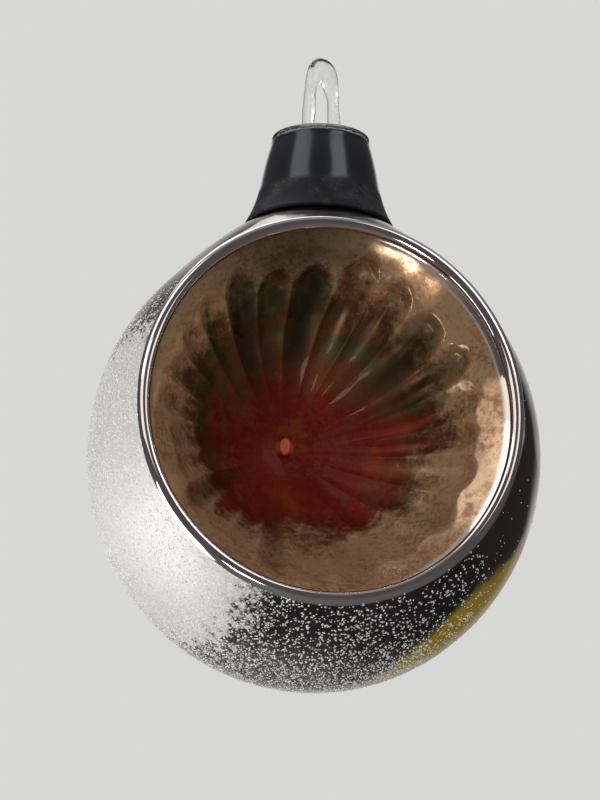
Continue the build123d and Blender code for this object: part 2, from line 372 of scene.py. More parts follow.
# ---------------------------------------------------------------- shader helpers
class Shading:
    """Builds one shader tree, where a value is a number, a colour or another node's socket."""

    def __init__(self, tree):
        self.tree = tree

    def put(self, socket, value):
        """Links a value to a socket or sets it there."""
        if isinstance(value, bpy.types.NodeSocket):
            self.tree.links.new(value, socket)
        else:
            socket.default_value = value

    def node(self, kind, inputs=None, **settings):
        """Adds one node; inputs maps the names or numbers of its sockets to values."""
        made = self.tree.nodes.new(kind)
        for name, value in settings.items():
            setattr(made, name, value)
        for key, value in (inputs or {}).items():
            self.put(made.inputs[key], value)
        return made

    def calculate(self, operation, *values):
        """The result of one math node."""
        return self.node("ShaderNodeMath", dict(enumerate(values)), operation=operation).outputs[0]

    def steer(self, operation, *vectors):
        """The outputs of one vector math node."""
        return self.node("ShaderNodeVectorMath", dict(enumerate(vectors)), operation=operation).outputs

    def times(self, first, second):
        """A product."""
        return self.calculate("MULTIPLY", first, second)

    def plus(self, first, second):
        """A sum."""
        return self.calculate("ADD", first, second)

    def minus(self, first, second):
        """A difference."""
        return self.calculate("SUBTRACT", first, second)

    def most(self, first, second):
        """The greater of two values."""
        return self.calculate("MAXIMUM", first, second)

    def ramp(self, value, low, high, to_low=0.0, to_high=1.0):
        """A value carried smoothly from one range to another."""
        inputs = {"Value": value, "From Min": low, "From Max": high, "To Min": to_low, "To Max": to_high}
        return self.node("ShaderNodeMapRange", inputs, interpolation_type="SMOOTHSTEP").outputs[0]

    def blend(self, factor, first, second):
        """Two colours mixed by a factor."""
        made = self.node("ShaderNodeMix", {0: factor}, data_type="RGBA", blend_type="MIX")
        for index, value in ((6, first), (7, second)):
            socket = isinstance(value, bpy.types.NodeSocket)
            self.put(made.inputs[index], value if socket else (*value[:3], 1))
        return made.outputs[2]

    def level(self, factor, first, second):
        """Two values mixed by a factor."""
        return self.node("ShaderNodeMix", {0: factor, 2: first, 3: second}, data_type="FLOAT").outputs[0]

    def noise(self, place, scale, detail, roughness=0.5):
        """Cloudy noise over a place."""
        inputs = {"Vector": place, "Scale": scale, "Detail": detail, "Roughness": roughness}
        return self.node("ShaderNodeTexNoise", inputs).outputs["Fac"]


class Effect(Shading):
    """A shared effect: a node group with named sockets."""

    def __init__(self, name, vectors, numbers, outputs):
        super().__init__(bpy.data.node_groups.new(name, "ShaderNodeTree"))
        sockets = self.tree.interface
        for label in vectors:
            sockets.new_socket(label, in_out="INPUT", socket_type="NodeSocketVector")
        for label, value in numbers.items():
            sockets.new_socket(label, in_out="INPUT", socket_type="NodeSocketFloat").default_value = value
        for label in outputs:
            sockets.new_socket(label, in_out="OUTPUT", socket_type="NodeSocketFloat")
        self.given = self.tree.nodes.new("NodeGroupInput").outputs
        self.result = self.tree.nodes.new("NodeGroupOutput").inputs


class Finish(Shading):
    """A material with one Principled shader; constants are set on its own sockets."""

    def __init__(self, name, **constants):
        self.material = bpy.data.materials.new(name)
        self.material.use_nodes = True
        super().__init__(self.material.node_tree)
        self.shader = self.tree.nodes["Principled BSDF"]
        for label, value in constants.items():
            self.shader.inputs[label.replace("_", " ")].default_value = value
        self.place = self.node("ShaderNodeTexCoord").outputs["Object"]

    def wire(self, label, value):
        """Links a value to one of the shader's sockets."""
        self.tree.links.new(value, self.shader.inputs[label])

    def stored(self, name):
        """A value that the mesh keeps for each point."""
        return self.node("ShaderNodeAttribute", attribute_name=name).outputs["Fac"]

    def effect(self, name, **inputs):
        """The outputs of one copy of a shared effect, laid over the object."""
        return self.node("ShaderNodeGroup", {"Vector": self.place, **inputs},
                         node_tree=bpy.data.node_groups[name]).outputs

    def mottle(self, size, low=0.4, high=0.6):
        """The mask of cloudy blotches."""
        return self.effect("mottle", Size=size, Low=low, High=high)["Mask"]

    def speckle(self, size, amount):
        """The mask of fine specks."""
        return self.effect("speckle", Size=size, Amount=amount)["Mask"]

    def bump(self, height, strength, distance):
        """Raises the surface by a height that varies."""
        made = self.node("ShaderNodeBump", {"Strength": strength, "Distance": distance, "Height": height})
        self.wire("Normal", made.outputs[0])


def dimmed(colour, share):
    """A darker shade of a colour."""
    return tuple(share * part for part in colour)


def build_mottle_effect():
    """Cloudy blotches with a soft or hard edge."""
    effect = Effect("mottle", ["Vector"], {"Size": 0.004, "Low": 0.4, "High": 0.6, "Detail": 5.0}, ["Mask"])
    given = effect.given
    scale = effect.calculate("DIVIDE", 1.0, given["Size"])
    cloud = effect.noise(given["Vector"], scale, given["Detail"], 0.62)
    effect.put(effect.result["Mask"], effect.ramp(cloud, given["Low"], given["High"]))


def build_speckle_effect():
    """Fine separate specks, more of them where the amount is higher."""
    effect = Effect("speckle", ["Vector"], {"Size": 0.0003, "Amount": 0.5}, ["Mask", "Height"])
    given = effect.given
    scale = effect.calculate("DIVIDE", 1.0, given["Size"])
    inputs = {"Vector": given["Vector"], "Scale": scale, "Randomness": 1.0}
    cells = effect.node("ShaderNodeTexVoronoi", inputs, feature="F1").outputs
    lottery = effect.node("ShaderNodeSeparateColor", {0: cells["Color"]}).outputs[0]
    chosen = effect.calculate("LESS_THAN", lottery, given["Amount"])
    mask = effect.times(chosen, effect.ramp(cells["Distance"], 0.55, 0.28))
    effect.put(effect.result["Mask"], mask)
    effect.put(effect.result["Height"], effect.times(mask, lottery))


def build_patch_effect():
    """A patch on the ball round a direction, with a ragged edge."""
    effect = Effect("ball_patch", ["Vector", "Middle", "Toward"],
                    {"Outer": 0.2, "Inner": 0.8, "Ragged": 0.1, "Size": 0.004}, ["Mask"])
    given = effect.given
    from_middle = effect.steer("SUBTRACT", given["Vector"], given["Middle"])[0]
    direction = effect.steer("NORMALIZE", from_middle)[0]
    facing = effect.steer("DOT_PRODUCT", direction, given["Toward"])["Value"]
    cloud = effect.noise(given["Vector"], effect.calculate("DIVIDE", 1.0, given["Size"]), 6.0, 0.7)
    place = effect.plus(facing, effect.times(effect.minus(cloud, 0.5), given["Ragged"]))
    effect.put(effect.result["Mask"], effect.ramp(place, given["Outer"], given["Inner"]))


# directions on the ball, from its middle
FROST_TOWARD, SPECKS_TOWARD, FOOT_TOWARD, SHOULDER_TOWARD, LACQUER_TOWARD, SHADOW_TOWARD = (
    tuple(Vector(toward).normalized()) for toward in (
        (-0.90, -0.28, -0.33), (-0.14, -0.30, -0.94), (-0.12, 0.60, -0.79),
        (-0.85, -0.33, 0.40), (0.70, 0.22, -0.68), (0.90, -0.40, -0.15)))

# where the ridges between the flutes stand round the mouth, in degrees, and how much painted shade each
# flute gets for the dark that it mirrors
RIDGE_TURNS = (-7, 7, 22, 36, 54, 69, 83, 100, 115, 130, 144, 158, 171, 184, 197, 210, 222, 234, 246, 258,
               274, 292, 312, 333, 353)
FLUTE_SHADES = (0.1, 0, 0.55, 0.7, 0.25, 0.1, 0.95, 0.3, 0.75, 0.2, 0.05, 0.1, 0, 0.1, 0, 0.6, 0.1, 0,
                0.35, 0, 0.1, 0, 0.15, 0)


# ---------------------------------------------------------------- finishes, each named after its slot
def make_silvered_glass():
    """Silvered glass: tarnish clouds, painted shade on the right side, on the shoulder and under the rim's
    specks, fine frost on one side and a patch of yellow lacquer.
    """
    ball = bpy.context.scene.ornament_ball
    frost = bpy.context.scene.ornament_frost
    look = Finish("silvered_glass_finish", Coat_Roughness=0.03, Specular_Tint=(0.62, 0.58, 0.56, 1))

    def patch(toward, outer, inner, ragged, size):
        """A ragged patch round a direction, reaching from the outer to the inner angle in degrees."""
        return look.effect("ball_patch", Middle=tuple(ball_center()), Toward=toward,
                           Outer=math.cos(math.radians(outer)), Inner=math.cos(math.radians(inner)),
                           Ragged=ragged, Size=size)["Mask"]

    rim = look.stored("rim")
    clouds = look.mottle(0.007, 0.40, 0.66)
    grain = look.speckle(0.00022, 0.45)
    rub = look.mottle(0.0016, 0.35, 0.7)
    lacquer = patch(LACQUER_TOWARD, 34, 28, 0.08, 0.005)
    white = patch(FROST_TOWARD, 50, 41, 0.55, 0.0014)
    fine = look.most(patch(FOOT_TOWARD, 62, 34, 0.25, 0.004),
                     look.times(patch(SHOULDER_TOWARD, 44, 12, 0.5, 0.003), 0.6))
    # Painted shade: the right side and the shoulder are darkened towards the tarnish colour, mixed with the
    # real tarnish clouds.
    shadow = look.most(patch(SHADOW_TOWARD, 68, 30, 0.25, 0.008),
                       look.times(patch(SHOULDER_TOWARD, 60, 25, 0.4, 0.005), 0.9))
    tarnish_and_shade_mask = look.most(look.times(clouds, 0.7), look.times(shadow, 0.95))
    # Painted dark reflection: the silver under the rim's specks is darkened further.
    painted_dark_under_specks = look.times(patch(SPECKS_TOWARD, 62, 36, 0.2, 0.006), 0.85)
    metal = look.blend(tarnish_and_shade_mask, ball.silver, ball.tarnish_and_shade)
    metal = look.blend(painted_dark_under_specks, metal, dimmed(ball.tarnish_and_shade, 0.4))
    metal = look.blend(lacquer, metal, ball.lacquer)
    metal = look.blend(rim, metal, ball.rim)
    covered = look.most(look.times(white, look.level(grain, 0.72, 1.0)),
                        look.times(fine, look.level(grain, 0.24, 0.60)))
    covered = look.times(covered, look.minus(1.0, rim))
    bare = look.minus(1.0, covered)
    smooth = look.level(lacquer, look.level(rub, 0.06, 0.18), 0.34)
    smooth = look.level(rim, smooth, 0.05)
    look.wire("Base Color", look.blend(covered, metal, frost.colour))
    look.wire("Metallic", look.times(bare, look.level(lacquer, 1.0, 0.55)))
    look.wire("Roughness", look.level(covered, smooth, 0.6))
    look.wire("Coat Weight", look.times(bare, 0.25))
    look.bump(covered, 0.5, 0.00010)


def make_lacquered_reflector():
    """Tinted silvering behind glass: red at the apex, then brown with olive patches, then champagne, with
    painted shade in the dark flutes and at the top of the brim and painted highlights on the outer ridges.
    """
    reflector = bpy.context.scene.ornament_reflector
    look = Finish("lacquered_reflector_finish", Coat_Weight=0.08, Coat_Roughness=0.05)
    share, ridge, lacquer, band, shade, bare = map(
        look.stored, ("share", "ridge", "lacquer", "band", "shade", "bare"))
    drift = look.noise(look.place, 130.0, 5.0, 0.62)
    fray = look.noise(look.place, 700.0, 6.0, 0.8)
    wander = look.times(look.minus(drift, 0.5), 0.6)
    frayed = look.times(look.minus(fray, 0.5), 0.5)
    moved = look.plus(look.plus(lacquer, wander), frayed)
    clouds = look.mottle(0.009, 0.42, 0.62)
    worn = look.times(look.mottle(0.0018, 0.42, 0.66), look.level(clouds, 0.35, 0.95))
    grimy = look.times(look.mottle(0.0007, 0.46, 0.60), look.level(clouds, 0.15, 0.5))
    freckles = look.times(look.speckle(0.00042, 0.20), 0.30)
    core = look.blend(look.mottle(0.006, 0.5, 0.7), reflector.core, reflector.ember)
    middle = look.blend(look.mottle(0.0065, 0.50, 0.62), reflector.umber, reflector.olive)
    outer = look.blend(worn, reflector.champagne, reflector.russet)
    tan = look.ramp(look.plus(look.plus(band, wander), frayed), 0.60, 0.84)
    # Painted highlight: the outer ridges are lightened towards champagne.
    ridge_highlight = look.times(look.ramp(ridge, 0.6, 1.0), look.ramp(share, 0.62, 0.92))
    colour = look.blend(tan, middle, outer)
    colour = look.blend(look.times(ridge_highlight, 0.35), colour, reflector.champagne)
    colour = look.blend(look.ramp(moved, 0.38, 0.66), core, colour)
    colour = look.blend(grimy, colour, dimmed(reflector.russet, 0.45))
    # Painted shade in the dark flutes and at the top of the brim, towards a dark olive.
    colour = look.blend(shade, colour, dimmed(reflector.olive, 0.3))
    colour = look.blend(freckles, colour, (0.05, 0.02, 0.01))
    colour = look.blend(look.ramp(share, 0.055, 0.03), colour, reflector.nib)
    metal = look.minus(look.level(tan, 0.78, 0.62), look.times(worn, 0.2))
    polish = look.level(look.ramp(share, 0.40, 0.75), 0.58, 0.16)
    polish = look.plus(polish, look.times(worn, 0.15))
    look.wire("Base Color", look.blend(bare, colour, bpy.context.scene.ornament_ball.rim))
    look.wire("Metallic", look.most(metal, bare))
    look.wire("Roughness", look.level(bare, polish, 0.06))
    look.bump(drift, 0.25, 0.0002)


def make_silver_coat():
    """The mirror film behind the glass."""
    ball = bpy.context.scene.ornament_ball
    look = Finish("silver_coat_finish", Metallic=1.0)
    clouds = look.mottle(0.004)
    look.wire("Base Color", look.blend(clouds, ball.silver, ball.tarnish_and_shade))
    look.wire("Roughness", look.level(clouds, 0.12, 0.3))


def make_mica_frost():
    """Glued mica grains."""
    frost = bpy.context.scene.ornament_frost
    look = Finish("mica_frost_finish", Coat_Roughness=0.12, Coat_Weight=0.5)
    grain = look.mottle(0.0004, 0.3, 0.7)
    look.wire("Base Color", look.blend(grain, frost.colour, dimmed(frost.colour, 0.62)))
    look.wire("Roughness", look.level(grain, 0.22, 0.5))


def make_black_cap():
    """Glossy black, dull and dusty towards the skirt, where the dust also stands in for a painted brownish
    reflection.
    """
    cap = bpy.context.scene.ornament_cap
    look = Finish("black_cap_finish", Coat_Roughness=0.19, Specular_IOR_Level=0.2)
    height = look.node("ShaderNodeSeparateXYZ", {0: look.place}).outputs["Z"]
    ragged = look.plus(height, look.times(look.noise(look.place, 260.0, 5.0), 0.0016))
    line = cap_low.z + cap.dust_line + 0.8 * MM
    dull = look.ramp(ragged, line + 0.5 * MM, line - 0.5 * MM)
    # Dust specks, which also stand in for a painted brownish reflection on the dull lower part.
    dust_and_reflection = look.times(dull, look.level(look.mottle(0.0035, 0.45, 0.65), 0.04, 0.5))
    dust_and_reflection = look.times(dust_and_reflection, look.level(look.speckle(0.00028, 0.5), 0.35, 1.0))
    polish = look.level(look.mottle(0.0012, 0.55, 0.75), 0.16, 0.3)
    look.wire("Base Color", look.blend(dust_and_reflection, cap.gloss, cap.dust_and_reflection))
    look.wire("Roughness", look.level(dull, polish, 0.5))
    look.wire("Coat Weight", look.times(look.minus(1.0, dull), 0.95))
    look.bump(dust_and_reflection, 0.3, 0.0001)


def make_cork():
    """Cork sheet: brown with darker pores."""
    look = Finish("cork_finish", Roughness=0.85)
    pores = look.effect("speckle", Size=0.0007, Amount=0.45)
    tone = look.blend(look.mottle(0.002), (0.48, 0.29, 0.14), (0.62, 0.42, 0.23))
    look.wire("Base Color", look.blend(pores["Mask"], tone, (0.16, 0.08, 0.035)))
    look.bump(pores["Height"], 0.6, 0.00015)


def make_clear_glass():
    """Clear drawn glass with faint streaks, and painted shade where it is seen edge on."""
    loop = bpy.context.scene.ornament_loop
    look = Finish("clear_glass_finish", Metallic=0.0, Transmission_Weight=1.0, IOR=1.48)
    stretched = look.node("ShaderNodeMapping", {"Vector": look.place, "Scale": (1.0, 1.0, 0.16)}).outputs[0]
    haze = look.mottle(0.0012, 0.5, 0.8)
    clear = look.blend(haze, loop.tint, dimmed(loop.tint, 0.94))
    facing = look.node("ShaderNodeLayerWeight", {"Blend": 0.5}).outputs["Facing"]
    # Painted shade: the glass is darkened towards the edge colour where it is seen edge on.
    look.wire("Base Color", look.blend(look.ramp(facing, 0.25, 0.9), clear, loop.edge))
    look.wire("Roughness", look.level(haze, 0.01, 0.06))
    look.bump(look.noise(stretched, 1900.0, 3.0), 0.35, 0.00025)


# ---------------------------------------------------------------- operators, one for each piece
class ORNAMENT_OT_finishes(bpy.types.Operator):
    """Make the shared effects and the finishes"""

    bl_idname = "ornament.finishes"
    bl_label = "Finishes"

    def execute(self, context):
        for make in (build_mottle_effect, build_speckle_effect, build_patch_effect,
                     make_silvered_glass, make_lacquered_reflector, make_silver_coat, make_mica_frost,
                     make_black_cap, make_cork, make_clear_glass):
            make()
        return {"FINISHED"}


class ORNAMENT_OT_ball(bpy.types.Operator):
    """Make the blown glass ball with its rolled rim and its neck"""

    bl_idname = "ornament.ball"
    bl_label = "Ball"

    def execute(self, context):
        ball = context.scene.ornament_ball
        center = np.array(ball_center())
        across, rows_round, rows_blend, rows_inside = 400, 150, 10, 14
        roll_start, roll_end, roll_step = 16, 236, 7  # degrees from straight outward, over the front
        middle, outward = rim_ring(across)
        forward = np.array((0, -1, 0))
        turns = full_turn(across)
        hand_rolled = 0.94 + 0.035 * np.sin(3 * turns + 1) + 0.025 * np.sin(7 * turns)
        roll_radius = ball.roll_radius * hand_rolled[:, None]
        edge = glass_edge(middle, outward, ball.blend_back)
        step_back = 0.2 * MM
        along = unit(edge - glass_edge(middle, outward, ball.blend_back + step_back))
        from_center = unit(edge - center)
        edge_angle = np.arccos(-from_center[:, 1])
        side = np.arctan2(from_center[:, 2], from_center[:, 0])

        def glass_ring(angle, inset=0.0):
            """Points on the glass, or so far inside it, at an angle from straight forward."""
            direction = np.stack(
                [np.sin(angle) * np.cos(side), -np.cos(angle), np.sin(angle) * np.sin(side)], axis=1)
            return center + direction * glass_reach(np.arcsin(direction[:, 2]), inset)[:, None]

        def roll_ring(turn):
            """Points on the roll, turned from straight outward."""
            return middle + roll_radius * (math.cos(turn) * outward + math.sin(turn) * forward)

        start = math.radians(roll_start)
        roll_first = roll_ring(start)
        roll_along = -math.sin(start) * outward + math.cos(start) * forward
        length = np.linalg.norm(roll_first - edge, axis=1)[:, None]
        rings = [glass_ring(math.pi + (edge_angle - math.pi) * row / rows_round)
                 for row in range(1, rows_round + 1)]
        rings += [hermite(row / rows_blend, length, edge, along, roll_first, roll_along)
                  for row in range(1, rows_blend)]
        rings += [roll_ring(turn) for turn in np.radians(np.arange(roll_start, roll_end, roll_step))]
        rings += [glass_ring(edge_angle + (math.pi - edge_angle) * row / rows_inside, ball.glass_wall)
                  for row in range(rows_inside)]
        rings = np.array(rings)

        outer_rows = rows_round + rows_blend
        outer = rings[:outer_rows]
        ripple_wave, ripple_seed = 11 * MM, 5
        bumps = np.abs(waviness(outer, ball.ripple, ripple_wave, ripple_seed))
        fade = np.clip(np.linspace(outer_rows / 8, 0, outer_rows), 0, 1)[:, None, None]
        rings[:outer_rows] = outer - unit(outer - center) * (bumps[..., None] * fade)
        back = center + (0, shell_high.y, 0)
        piece = mesh_from_rings("ball_glass", rings, first=back, last=back - (0, ball.glass_wall, 0))
        rim = np.zeros(len(rings))
        rim[outer_rows - 2:-rows_inside] = 1
        outside = np.arange(len(rings)) < outer_rows - 1
        for name, values, at_back in (("rim", rim, 0), ("outside", outside, 1)):
            store(piece, name, np.append(np.repeat(values, across), [at_back, 0]))
        dress(piece, "ball", "silvered_glass", "ball_shell")

        dome = ball.half_height + ball_center().z
        sleeve_wall, play, lip_radius, neck_wall = 0.6 * MM, 0.05 * MM, 0.4 * MM, 0.8 * MM
        neck_radius = -sleeve_low.x - sleeve_wall - play
        rising = smooth_curve(
            [(8.4 * MM, dome + 1.66 * MM), (6.3 * MM, dome + 3.2 * MM), (neck_radius, dome + 5.6 * MM)],
            18, start=(-0.86, 0.5), end=(0, 1))
        lip = arc((neck_radius - lip_radius, sleeve_high.z - lip_radius), lip_radius, 0, 180, 11)
        falling = [(neck_radius - neck_wall, dome + 4.0 * MM), (6.0 * MM, dome + 1.6 * MM)]
        dress(turned_mesh("ball_neck", [*rising, *lip, *falling], 128), "ball", "silvered_glass")
        return {"FINISHED"}


class ORNAMENT_OT_reflector(bpy.types.Operator):
    """Make the fluted reflector with its sealed nib"""

    bl_idname = "ornament.reflector"
    bl_label = "Reflector"

    def execute(self, context):
        ball = context.scene.ornament_ball
        settings = context.scene.ornament_reflector
        draw = np.random.default_rng(11)
        across = 576  # points round each ring
        turns = full_turn(across)
        borders = np.radians(RIDGE_TURNS)
        count = len(RIDGE_TURNS) - 1
        ends = draw.uniform(0.79, 0.87, count)
        end_lengths = draw.uniform(0.09, 0.13, count)
        middles = (borders[1:] + borders[:-1]) / 2
        depths = 1 - settings.unevenness * draw.uniform(0, 1.2, count)
        depths *= 0.76 + 0.24 * np.cos(middles - math.radians(50))
        reaches = draw.uniform(-0.13, 0.10, count)
        shades = np.array(FLUTE_SHADES)
        tuck = 0.55 * ball.roll_radius  # how far the dish's brim reaches under the roll
        wide, tall = ball.rim_half_width - tuck, ball.rim_half_height - tuck
        mean = (wide + tall) / 2
        mouth = ball.rim_shift_side, ball_center().z + ball.rim_shift_up
        mouth_front = -shell_low.y - ball.roll_radius - tuck
        power = 1.7  # how the dish curves between mouth and apex
        apex = (-3.6 * MM, 0.8 * MM)
        nib_wide, nib_tall, nib_height, nib_dent = 0.95 * MM, 1.5 * MM, 1.2 * MM, 0.6
        top_shade_turn, top_shade_spread = 102, 32  # degrees round the mouth, where the top of the brim gets painted shade
        dent, dent_wave, dent_seed = 0.10 * MM, 7 * MM, 3

        def ring(share, offset, fluted=True):
            """One ring of the surface: its places, and for each the values that its lacquer follows."""
            slope = settings.depth * power * share ** (power - 1) / mean
            lean = math.hypot(1, slope)
            bent = turns + 0.09 * np.sin(math.pi * share) * np.sin(2 * turns + 0.7)
            folded = (bent - borders[0]) % (2 * math.pi) + borders[0]
            flute = np.clip(np.searchsorted(borders, folded, side="right") - 1, 0, count - 1)
            side = 2 * (folded - borders[flute]) / (borders[flute + 1] - borders[flute]) - 1
            beyond = np.clip((share - ends[flute]) / end_lengths[flute], 0, None)
            reach = np.clip(np.hypot(side, beyond), 0, 1)
            scoop = (1 - reach ** 2) ** (1 + 0.9 * np.clip(beyond, 0, 1))
            ripple = 0.03 * np.cos(15 * reach) * (1 - reach) * rise(share, 0.6, 0.15)
            fade = rise(share, 0.10, 0.60) ** 1.5 * np.clip((0.99 - share) / 0.10, 0, 1) ** 0.7
            ridge = 1 - (scoop + ripple) * depths[flute]
            inward = settings.flute_depth * fade * ridge if fluted else 0
            x = mouth[0] + apex[0] * (1 - share)
            z = mouth[1] + apex[1] * (1 - share)
            wide_here = share * wide + offset * slope / lean - inward
            tall_here = share * tall + offset * slope / lean - inward
            front = mouth_front - settings.depth * (1 - share ** power) - offset / lean
            points = np.stack([x + wide_here * np.cos(turns), np.full(across, -front),
                               z + tall_here * np.sin(turns)], axis=1)
            if fluted:
                local = share * mean * np.hypot(np.cos(turns) / nib_wide, np.sin(turns) / nib_tall)
                points[:, 1] -= nib_height * (np.clip(1 - local ** 2, 0, 1) ** 0.6
                                              - nib_dent * np.exp(-(local / 0.4) ** 2))
                points[:, 1] += waviness(points, dent, dent_wave, dent_seed) * min(1, share / 0.3)
            lacquer = share + 0.10 * np.sin(turns) + reaches[flute] * scoop * min(1, 2 * share)
            band = share - 0.12 * np.sin(turns - 0.25) - 0.05 * scoop * depths[flute]
            # Painted shade: the flutes that mirror dark, and the top of the brim.
            shade = shades[flute] * scoop ** 0.6 * rise(share, 0.22, 0.3)
            top_shade = np.exp(-((np.degrees(turns) - top_shade_turn) / top_shade_spread) ** 2)
            shade = np.maximum(shade, 0.75 * rise(share, 0.80, 0.12) * top_shade)
            bare = rise(share, 0.972, 0.010) * np.clip(1.8 * np.cos(turns - 0.1) - 0.5, 0, 1)
            return points, ridge * fade, lacquer, band, shade, bare

        tip = np.linspace(0.004, 0.075, 16)
        body = np.linspace(0.09, 0.78, 46)
        scallops = np.linspace(0.79, 1.0, 46)
        shares = np.concatenate([tip, body, scallops])
        back_shares = np.linspace(1.0, 0.05, 12)
        front = [ring(share, 0) for share in shares]
        back = [ring(share, ball.glass_wall, fluted=False) for share in back_shares]
        rings = np.array([made[0] for made in front + back])
        piece = mesh_from_rings(
            "reflector_flutes", rings, first=rings[0].mean(axis=0), last=rings[-1].mean(axis=0))
        layers = {"share": np.repeat(np.concatenate([shares, back_shares]), across)}
        for place, name in enumerate(("ridge", "lacquer", "band", "shade", "bare"), 1):
            layers[name] = np.concatenate([made[place] for made in front + back])
        for name, values in layers.items():
            store(piece, name, np.append(values, [0, 0]))
        dress(piece, "ball", "lacquered_reflector", "reflector_dish")

        film_gap, film_wall = 0.02 * MM, 0.14 * MM
        film_shares = np.linspace(0.06, 0.96, 40)
        near = [ring(share, ball.glass_wall + film_gap, fluted=False)[0] for share in film_shares]
        behind = [ring(share, ball.glass_wall + film_gap + film_wall, fluted=False)[0]
                  for share in film_shares[::-1]]
        film = mesh_from_rings(
            "reflector_film", near + behind, first=near[0].mean(axis=0), last=behind[-1].mean(axis=0))
        dress(film, "ball", "silver_coat", "reflector_silvering")
        return {"FINISHED"}


class ORNAMENT_OT_coat(bpy.types.Operator):
    """Give the ball's mirror film its finish"""

    bl_idname = "ornament.coat"
    bl_label = "Mirror coat"

    def execute(self, context):
        finish(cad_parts["ball_silvering"], "silver_coat")
        return {"FINISHED"}


class ORNAMENT_OT_frost(bpy.types.Operator):
    """Scatter the mica grains over the ball, most of them low on one side"""

    bl_idname = "ornament.frost"
    bl_label = "Frost"

    def execute(self, context):
        settings = context.scene.ornament_frost
        center = np.array(ball_center())
        draw = np.random.default_rng(23)
        glass = bpy.data.objects["ball_glass"].data
        places = np.empty(3 * len(glass.vertices), np.float32)
        glass.vertices.foreach_get("co", places)
        outside = np.empty(len(glass.vertices), np.float32)
        glass.attributes["outside"].data.foreach_get("value", outside)
        glass.calc_loop_triangles()
        triangles = np.empty(3 * len(glass.loop_triangles), np.int32)
        glass.loop_triangles.foreach_get("vertices", triangles)
        triangles = triangles.reshape(-1, 3)
        triangles = triangles[outside[triangles].min(axis=1) > 0.5]
        first, second, third = places.astype(float).reshape(-1, 3)[triangles.T]
        facing = np.cross(second - first, third - first)
        areas = np.linalg.norm(facing, axis=1) / 2
        facing *= (np.sign(((first - center) * facing).sum(axis=1)) / np.maximum(2 * areas, 1e-15))[:, None]
        tries = int(areas.sum() / MM ** 2 * settings.density)
        chosen = draw.choice(len(areas), size=tries, p=areas / areas.sum())
        across, along = draw.uniform(size=(2, tries, 1))
        folded = across + along > 1
        across, along = np.where(folded, 1 - across, across), np.where(folded, 1 - along, along)
        points = first[chosen] + across * (second - first)[chosen] + along * (third - first)[chosen]
        direction = unit(points - center)
        clumps = waviness(points, 0.07, 5 * MM, 8) + waviness(points, 0.06, 1.8 * MM, 9)

        def closeness(toward, outer, inner):
            """How near each point is to a direction, from 0 at the outer angle to 1 at the inner one."""
            low, high = math.cos(math.radians(outer)), math.cos(math.radians(inner))
            return rise(direction @ np.array(toward) + clumps, low, high - low)

        white = closeness(FROST_TOWARD, 57, 36)
        specks = closeness(SPECKS_TOWARD, 58, 30)
        foot = closeness(FOOT_TOWARD, 66, 30)
        shoulder = closeness(SHOULDER_TOWARD, 48, 15)
        wanted = 4.5 * white + 3.2 * specks + 2.6 * foot + 1.6 * shoulder + 0.10  # on a square millimetre
        kept = (points[:, 2] < frost_high.z) & (draw.uniform(size=tries) < wanted / settings.density)
        points, normals = points[kept], facing[chosen][kept]
        coarse = np.clip(0.25 + white + 1.2 * specks - 0.9 * foot, 0, 1)[kept]
        count = len(points)
        sideways = unit(np.cross(normals, draw.normal(size=(count, 3))))
        upward = np.cross(normals, sideways)
        size = settings.grain_small + (settings.grain_large - settings.grain_small) * (
            coarse * draw.beta(3.0, 1.8, count) + (1 - coarse) * draw.beta(1.2, 6.0, count))
        sunk, tallest = 0.02 * MM, 0.24 * MM
        corners = []
        for corner in range(4):
            turn = corner * math.pi / 2 + draw.uniform(-0.4, 0.4, count)
            reach = (size * draw.uniform(0.42, 0.58, count))[:, None]
            corners.append(points - normals * sunk
                           + reach * (np.cos(turn)[:, None] * sideways + np.sin(turn)[:, None] * upward))
        lean = 0.22 * size[:, None] * (draw.uniform(-1, 1, (count, 1)) * sideways
                                       + draw.uniform(-1, 1, (count, 1)) * upward)
        height = draw.uniform(0.30, 0.5, count) * (1 - 0.55 * white[kept])
        top = points + normals * np.minimum(tallest, size * height)[:, None] + lean
        vertices = np.stack([*corners, top], axis=1).reshape(-1, 3)
        first = np.arange(count) * 5
        sides = [np.stack([first + a, first + (a + 1) % 4, first + 4], axis=1) for a in range(4)]
        bases = np.stack([first + 3, first + 2, first + 1, first], axis=1)
        mesh = bpy.data.meshes.new("frost_grains")
        mesh.from_pydata(vertices.tolist(), [], [*np.concatenate(sides).tolist(), *bases.tolist()])
        dress(add_object("frost_grains", mesh), "ball", "mica_frost", "frost_coat")
        return {"FINISHED"}


